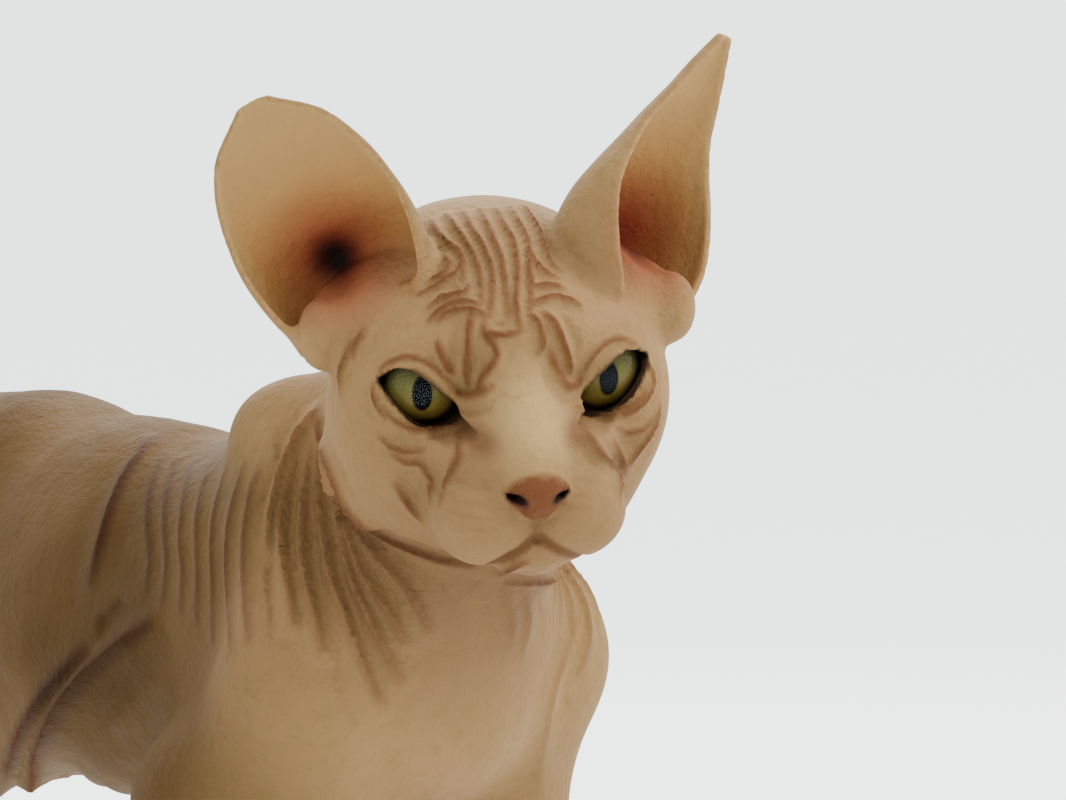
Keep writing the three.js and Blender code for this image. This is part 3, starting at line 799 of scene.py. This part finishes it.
masks = {
    # painted shade in the bottoms of the folds
    "creaseShade": creaseShade,
    "rim": rim,
    "tear": tear,
    "nose": np.clip(1 + noseLeather["edge"] - noseAway, 0, noseLeather["edge"]) / noseLeather["edge"],
    # painted highlight on the nose bridge
    "bridgeHighlight": spot(local, (0, -22, -4), (12, 22, 20)) * (local[:, 1] < 0),
    "pink": spot(local, (0, 5, -45), (60, 60, 60)) * 0.8,
    # the trunk's darker brown skin together with painted shade over the shoulders, back and flanks
    "brownAndShade": soft(bodyPoints[:, 1], -100, -56) * soft(bodyPoints[:, 2], 10, 90) * (1 - nape),
    # painted shade along the mouth line, in the fold colour
    "mouthLine": 1 - soft(grooveAway, 0.8, 1.8),
    # painted shade inside the nostrils, in the canal's near-black
    "nostril": 1 - soft(taperDistance(nostrilBore, half, local[:, 1], local[:, 2]), 0.0, 0.9),
    # painted shade down the ear canal
    "canal": 1 - soft(wayDistance(canalShadeWay), -1, 4.5),
}
inner, earOuter, earRedAndShade = (np.zeros(len(local)) for _ in range(3))
for ear in ears.values():
    chosen = earSide == ear["side"]
    place = earIndex[chosen]
    sheetRows = ear["points"].reshape(earLook["rows"], earLook["columns"], 3)
    row = (earAlong[chosen] * (earLook["rows"] - 1)).round().astype(int)
    toMiddle = sheetRows[np.clip(row, 0, earLook["rows"] - 1)].mean(1) - earSpots[chosen]
    isInner = ((surfacePoints[place] - earSpots[chosen]) * toMiddle).sum(1) > 0
    fade = soft(bodyAway[place], -2, 3)
    towardsRim = np.maximum(soft(earAlong[chosen], 0.35, 1.1), soft(np.abs(earAcross[chosen]), 0.6, 1.0))
    inner[place] = isInner * fade
    earOuter[place] = isInner * towardsRim * fade
    earRedAndShade[place] = isInner * (1 - soft(earAlong[chosen], 0.0, 0.36))
masks["earInside"] = inner
masks["earOuter"] = earOuter
# the skin's red together with painted shade deep in the ear cup and towards the canal
masks["earRedAndShade"] = np.maximum(earRedAndShade * 0.35, 1 - soft(wayDistance(deepShadeWay), 0, 17))
for name, values in masks.items():
    layer = skinPiece.data.attributes.new(name, "FLOAT", "POINT")
    layer.data.foreach_set("value", np.clip(values, 0, 1).astype(np.float32))
note("coloured")

skinLook = {
    "faces": 196000, "subsurface": 0.12, "subsurfaceRadius": (0.004, 0.0016, 0.0008),
    "specular": 0.08, "roughness": (-1.6, 1.3),
}
decimate = skinPiece.modifiers.new("thin", "DECIMATE")
faceCount = 2 * len(surfaceQuads) + len(surfaceTriangles)
decimate.ratio = min(1, skinLook["faces"] / faceCount)
bpy.context.view_layer.objects.active = skinPiece
with bpy.context.temp_override(object=skinPiece, active_object=skinPiece, selected_objects=[skinPiece]):
    bpy.ops.object.modifier_apply(modifier=decimate.name)
skinPiece.data.polygons.foreach_set("use_smooth", [True] * len(skinPiece.data.polygons))
note(f"thinned to {len(skinPiece.data.polygons)}")


# Materials
def newMaterial(name):
    material = bpy.data.materials.new(name)
    material.use_nodes = True
    return material, material.node_tree, material.node_tree.nodes["Principled BSDF"]


def mask(tree, name):
    node = tree.nodes.new("ShaderNodeAttribute")
    node.attribute_name = name
    return node.outputs["Fac"]


def noise(tree, scale, detail=3.0, stretch=(1, 1, 1)):
    place = tree.nodes.new("ShaderNodeTexCoord")
    mapping = tree.nodes.new("ShaderNodeMapping")
    mapping.inputs["Scale"].default_value = stretch
    texture = tree.nodes.new("ShaderNodeTexNoise")
    texture.inputs["Scale"].default_value = scale
    texture.inputs["Detail"].default_value = detail
    tree.links.new(place.outputs["Object"], mapping.inputs["Vector"])
    tree.links.new(mapping.outputs["Vector"], texture.inputs["Vector"])
    return texture.outputs["Fac"]


# Stretches the range from start to end over none to one.
def remap(tree, value, start, end):
    node = tree.nodes.new("ShaderNodeMapRange")
    node.inputs["From Min"].default_value = start
    node.inputs["From Max"].default_value = end
    tree.links.new(value, node.inputs["Value"])
    return node.outputs["Result"]


def times(tree, a, b):
    node = tree.nodes.new("ShaderNodeMath")
    node.operation = "MULTIPLY"
    tree.links.new(a, node.inputs[0])
    if isinstance(b, (int, float)):
        node.inputs[1].default_value = b
    else:
        tree.links.new(b, node.inputs[1])
    return node.outputs["Value"]


def tint(tree, base, color, amount, blend="MIX"):
    node = tree.nodes.new("ShaderNodeMix")
    node.data_type = "RGBA"
    node.blend_type = blend
    tree.links.new(amount, node.inputs["Factor"])
    if isinstance(base, tuple):
        node.inputs["A"].default_value = (*base, 1)
    else:
        tree.links.new(base, node.inputs["A"])
    node.inputs["B"].default_value = (*color, 1)
    return node.outputs["Result"]


# Chains bumps of (height, distance in metres, strength).
def bump(tree, shader, layers):
    last = None
    for height, distance, strength in layers:
        node = tree.nodes.new("ShaderNodeBump")
        node.inputs["Distance"].default_value = distance
        node.inputs["Strength"].default_value = strength
        tree.links.new(height, node.inputs["Height"])
        if last:
            tree.links.new(last, node.inputs["Normal"])
        last = node.outputs["Normal"]
    tree.links.new(last, shader.inputs["Normal"])


skinColors = {
    # the brown colour here is both the trunk's darker skin and painted shade on the body
    "base": (0.185, 0.106, 0.043), "pink": (0.096, 0.048, 0.024), "brownAndShade": (0.043, 0.0215, 0.0045),
    # the fold colour here is painted shade, multiplied into the folds and along the mouth line
    "olive": (0.125, 0.078, 0.020), "bridgeHighlight": (0.28, 0.188, 0.072), "creaseShade": (0.40, 0.23, 0.15),
    "rim": (0.015, 0.006, 0.004), "tear": (0.075, 0.032, 0.013), "nose": (0.080, 0.027, 0.009),
    # the deepest ear colour here is the skin's red darkened by painted shade
    "earInside": (0.22, 0.108, 0.030), "earOuter": (0.24, 0.150, 0.055), "earRedAndShade": (0.14, 0.022, 0.010),
    # near-black painted shade for the ear canal and the nostrils
    "canal": (0.006, 0.002, 0.001),
}
# colour, where it lies, how much of it, and how it is laid on, from the bottom up
skinTints = [
    # the first tint is the painted highlight on the nose bridge
    ("bridgeHighlight", "bridgeHighlight", 0.8, "MIX"), ("earInside", "earInside", 1, "MIX"), ("earOuter", "earOuter", 1, "MIX"),
    ("earRedAndShade", "earRedAndShade", 1, "MIX"), ("canal", "canal", 1, "MIX"), ("creaseShade", "creaseShade", 0.9, "MULTIPLY"),
    ("creaseShade", "mouthLine", 0.8, "MULTIPLY"), ("nose", "nose", 1, "MIX"), ("canal", "nostril", 1, "MIX"),
    ("tear", "tear", 0.7, "MIX"), ("rim", "rim", 0.9, "MIX"),
]
skinMaterial, tree, shader = newMaterial("bareSkin")
color = tint(tree, skinColors["base"], skinColors["pink"], mask(tree, "pink"))
for scale, start, end, amount in [(22, 0.4, 0.75, 0.45), (260, 0.5, 0.8, 0.5)]:
    oliveShare = times(tree, remap(tree, noise(tree, scale), start, end), amount)
    color = tint(tree, color, skinColors["olive"], oliveShare)
# the brown tint: darker skin and painted shade on the body, broken up by noise
brownAndShadeShare = times(tree, mask(tree, "brownAndShade"), remap(tree, noise(tree, 11), -0.45, 0.65))
color = tint(tree, color, skinColors["brownAndShade"], brownAndShadeShare)
for name, place, amount, blend in skinTints:
    color = tint(tree, color, skinColors[name], times(tree, mask(tree, place), amount), blend)
tree.links.new(color, shader.inputs["Base Color"])
tree.links.new(remap(tree, noise(tree, 60), *skinLook["roughness"]), shader.inputs["Roughness"])
shader.inputs["Subsurface Weight"].default_value = skinLook["subsurface"]
shader.inputs["Subsurface Radius"].default_value = skinLook["subsurfaceRadius"]
shader.inputs["Subsurface Scale"].default_value = 1.0
shader.inputs["Specular IOR Level"].default_value = skinLook["specular"]
bump(tree, shader, [
    (noise(tree, 80, 3.0, (1, 1, 0.25)), 0.0020, 0.4),
    (noise(tree, 190, 4.0), 0.0014, 0.6),
    (noise(tree, 520, 4.0), 0.0008, 0.7),
    (noise(tree, 1500, 2.0), 0.0004, 0.6),
])
skinPiece.data.materials.append(skinMaterial)
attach(skinPiece, "root")

# The eyes: a ball with a sunk iris under a clear cornea
eyeLook = {
    "irisRadius": 9.2, "irisDepth": 1.6, "pupil": (2.5, 4.6), "rings": 44, "turns": 72,
    "roughness": 0.35, "corneaRoughness": 0.03, "corneaIor": 1.18,
}
eyeColors = {
    "iris": (0.088, 0.076, 0.019), "low": (0.13, 0.080, 0.015), "strand": (0.045, 0.045, 0.014),
    # the high colour darkens the top of the iris as painted shadow of the upper lid
    "high": (0.05, 0.053, 0.021), "edge": (0.015, 0.012, 0.006), "white": (0.03, 0.016, 0.014),
    "pupil": (0.002, 0.003, 0.004),
}
gazes = {"left": (0.10, -0.99, 0.03), "right": (-0.10, -0.99, 0.03)}


# A ball about its gaze, with rings closer together at the front, and its iris plane as attributes.
def ballRings(centre, gaze, radius, dish):
    gaze = np.array(gaze, float)
    gaze /= np.linalg.norm(gaze)
    upward = np.array([0.0, 0, 1]) - gaze * gaze[2]
    upward /= np.linalg.norm(upward)
    sideways = np.cross(gaze, upward)
    rings, turns = eyeLook["rings"], eyeLook["turns"]
    angles = np.pi * np.linspace(0, 1, rings + 1) ** 1.5
    points, plane = [], []
    for angle in angles:
        for turn in np.linspace(0, 2 * np.pi, turns, endpoint=False):
            flat = radius * math.sin(angle)
            forward = radius * math.cos(angle)
            if dish and angle < math.pi / 2:
                edge = min(flat / eyeLook["irisRadius"], 1)
                forward -= eyeLook["irisDepth"] * (1 - edge ** 6)
            across, rise = flat * math.cos(turn), flat * math.sin(turn)
            points.append(centre + gaze * forward + sideways * across + upward * rise)
            plane.append((across, rise, forward))
    faces = []
    for ring in range(rings):
        for turn in range(turns):
            a, b = ring * turns + turn, ring * turns + (turn + 1) % turns
            faces.append((a, b, b + turns, a + turns))
    return np.array(points) @ headAxes.T + headPlace, faces, np.array(plane)


def fusePoles(piece):
    work = bmesh.new()
    work.from_mesh(piece.data)
    bmesh.ops.remove_doubles(work, verts=work.verts, dist=1e-6)
    bmesh.ops.recalc_face_normals(work, faces=work.faces)
    work.to_mesh(piece.data)
    work.free()


def eyeMaterial():
    material, tree, shader = newMaterial("iris")
    plane = tree.nodes.new("ShaderNodeAttribute")
    plane.attribute_name = "plane"
    parts = tree.nodes.new("ShaderNodeSeparateXYZ")
    tree.links.new(plane.outputs["Vector"], parts.inputs["Vector"])

    def length(scaleX, scaleY):
        combine = tree.nodes.new("ShaderNodeCombineXYZ")
        tree.links.new(times(tree, parts.outputs["X"], scaleX), combine.inputs["X"])
        tree.links.new(times(tree, parts.outputs["Y"], scaleY), combine.inputs["Y"])
        node = tree.nodes.new("ShaderNodeVectorMath")
        node.operation = "LENGTH"
        tree.links.new(combine.outputs["Vector"], node.inputs[0])
        return node.outputs["Value"]

    radius = length(1, 1)
    slit = length(1 / eyeLook["pupil"][0], 1 / eyeLook["pupil"][1])
    strands = tree.nodes.new("ShaderNodeTexNoise")
    strands.inputs["Scale"].default_value = 1.6
    strands.inputs["Detail"].default_value = 5
    tree.links.new(plane.outputs["Vector"], strands.inputs["Vector"])
    iris, height = eyeLook["irisRadius"], parts.outputs["Y"]
    color = tint(tree, eyeColors["iris"], eyeColors["low"], remap(tree, height, 1.5, -6.0))
    for name, amount in [
        ("strand", times(tree, remap(tree, strands.outputs["Fac"], 0.45, 0.7), 0.5)),
        # painted shadow of the upper lid over the top of the iris
        ("high", times(tree, remap(tree, height, 0.0, 6.0), 0.85)),
        ("edge", remap(tree, radius, iris * 0.82, iris * 1.02)),
        ("white", remap(tree, radius, iris * 1.02, iris * 1.1)),
        ("pupil", remap(tree, slit, 1.12, 0.92)),
    ]:
        color = tint(tree, color, eyeColors[name], amount)
    tree.links.new(color, shader.inputs["Base Color"])
    shader.inputs["Roughness"].default_value = eyeLook["roughness"]
    shader.inputs["Specular IOR Level"].default_value = 0.0
    return material


def corneaMaterial():
    material = bpy.data.materials.new("cornea")
    material.use_nodes = True
    tree = material.node_tree
    tree.nodes.remove(tree.nodes["Principled BSDF"])
    clear = tree.nodes.new("ShaderNodeBsdfTransparent")
    gloss = tree.nodes.new("ShaderNodeBsdfGlossy")
    gloss.inputs["Roughness"].default_value = eyeLook["corneaRoughness"]
    fresnel = tree.nodes.new("ShaderNodeFresnel")
    fresnel.inputs["IOR"].default_value = eyeLook["corneaIor"]
    mix = tree.nodes.new("ShaderNodeMixShader")
    tree.links.new(fresnel.outputs["Fac"], mix.inputs["Fac"])
    tree.links.new(clear.outputs["BSDF"], mix.inputs[1])
    tree.links.new(gloss.outputs["BSDF"], mix.inputs[2])
    tree.links.new(mix.outputs["Shader"], tree.nodes["Material Output"].inputs["Surface"])
    return material


irisMaterial, corneaGloss = eyeMaterial(), corneaMaterial()
for side, gaze in gazes.items():
    centre = np.array(eye["centre"]) * [1 if side == "left" else -1, 1, 1]
    points, faces, plane = ballRings(centre, gaze, eye["radius"] - eye["inset"], True)
    ball = makeMesh("eyeball_" + side, points, faces)
    layer = ball.data.attributes.new("plane", "FLOAT_VECTOR", "POINT")
    layer.data.foreach_set("vector", plane.astype(np.float32).ravel())
    ball.data.materials.append(irisMaterial)
    points, faces, _ = ballRings(centre, gaze, eye["radius"], False)
    cornea = makeMesh("cornea_" + side, points, faces)
    cornea.data.materials.append(corneaGloss)
    for piece in (ball, cornea):
        fusePoles(piece)
        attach(piece, "root")
    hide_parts("eye_" + side)
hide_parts(*[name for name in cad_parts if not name.startswith("eye_")])
note("eyes")

# The claws, a short hook at the front of each toe
claw = {
    "length": 6.0, "radius": 1.25, "tip": 0.08, "flat": 0.7, "droop": 38, "lean": 0.6,
    "rings": 8, "turns": 10, "sunk": 2.4, "lift": 1.2, "color": (0.30, 0.22, 0.14), "roughness": 0.35,
}


def clawPoints(start):
    points = []
    for share in np.linspace(0, 1, claw["rings"]):
        angle = math.radians(claw["droop"] * (claw["lean"] + share))
        middle = np.array(start) + share * claw["length"] * np.array([0, -math.cos(angle), -math.sin(angle)])
        radius = claw["radius"] * (1 - share) ** 0.8 + claw["tip"]
        for turn in np.linspace(0, 2 * np.pi, claw["turns"], endpoint=False):
            rise = math.sin(turn)
            across = np.array([math.cos(turn), rise * math.sin(angle), rise * math.cos(angle)])
            points.append(middle + across * radius * [claw["flat"], 1, 1])
    return points


def clawFaces(first):
    faces, turns = [], claw["turns"]
    for ring in range(claw["rings"] - 1):
        for turn in range(turns):
            a, b = first + ring * turns + turn, first + ring * turns + (turn + 1) % turns
            faces.append((a, b, b + turns, a + turns))
    last = first + (claw["rings"] - 1) * turns
    return faces + [tuple(range(first, first + turns))[::-1], tuple(range(last, last + turns))]


clawCorners, clawSides = [], []
for leg, paw, side, stride in limbs:
    for toe in paw[1:]:
        (x, y, z), (_, halfLength, _) = toe["centre"], toe["radii"]
        rootY = y + stride * (1 - z / strideTop) - halfLength + claw["sunk"]
        start = (x * side, rootY, z + claw["lift"])
        clawSides += clawFaces(len(clawCorners))
        clawCorners += clawPoints(start)
claws = makeMesh("claws", np.array(clawCorners), clawSides)
clawMaterial, tree, shader = newMaterial("horn")
shader.inputs["Base Color"].default_value = (*claw["color"], 1)
shader.inputs["Roughness"].default_value = claw["roughness"]
claws.data.materials.append(clawMaterial)
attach(claws, "root")

# Camera, floor and light
placeCamera()
floorLook = {
    "side": 30e3, "far": 60e3, "color": (0.87, 0.88, 0.88), "roughness": 0.9,
    "glow": (0.93, 0.97, 1), "glowStrength": 0.25,
}
side, far = floorLook["side"], floorLook["far"]
floorCorners = [(-side, -side, 0), (side, -side, 0), (side, far, 0), (-side, far, 0)]
floor = makeMesh("floor", floorCorners, [(0, 1, 2, 3)])
floorMaterial, tree, shader = newMaterial("paleFloor")
shader.inputs["Base Color"].default_value = (*floorLook["color"], 1)
shader.inputs["Roughness"].default_value = floorLook["roughness"]
shader.inputs["Emission Color"].default_value = (*floorLook["glow"], 1)
shader.inputs["Emission Strength"].default_value = floorLook["glowStrength"]
floor.data.materials.append(floorMaterial)

skyLook = {
    "brightSide": (0.66, 0.50, 0.56), "range": (-0.7, 0.5), "strength": 3.8,
    "dark": (0.20, 0.20, 0.205), "bright": (0.90, 0.93, 0.935),
}
surroundings = bpy.context.scene.world or bpy.data.worlds.new("world")
bpy.context.scene.world = surroundings
surroundings.use_nodes = True
skyTree = surroundings.node_tree
skyPlace = skyTree.nodes.new("ShaderNodeTexCoord")
skySide = skyTree.nodes.new("ShaderNodeVectorMath")
skySide.operation = "DOT_PRODUCT"
skySide.inputs[1].default_value = skyLook["brightSide"]
skyTree.links.new(skyPlace.outputs["Generated"], skySide.inputs[0])
skyShare = remap(skyTree, skySide.outputs["Value"], *skyLook["range"])
sky = tint(skyTree, skyLook["dark"], skyLook["bright"], skyShare)
skyTree.links.new(sky, skyTree.nodes["Background"].inputs["Color"])
skyTree.nodes["Background"].inputs["Strength"].default_value = skyLook["strength"]

lamps = {
    "key": {"place": (560, -860, 1250), "size": 700, "power": 26, "color": (1, 0.98, 0.95)},
    "rear": {"place": (500, 500, 900), "size": 700, "power": 10, "color": (0.95, 0.98, 1)},
}
glintSide = -viewLook - 0.30 * viewRight + 0.50 * viewUp
lamps["glint"] = {"place": headPlace + 1000 * glintSide, "size": 110, "power": 4.0, "color": (1, 1, 1)}
for name, lamp in lamps.items():
    light = bpy.data.objects.new(name, bpy.data.lights.new(name, "AREA"))
    bpy.context.scene.collection.objects.link(light)
    light.data.size = lamp["size"] * millimetre
    light.data.energy = lamp["power"]
    light.data.color = lamp["color"]
    light.location = toWorld(np.array(lamp["place"], float))
    light.rotation_euler = (Vector(toWorld(headPlace)) - light.location).to_track_quat("-Z", "Y").to_euler()
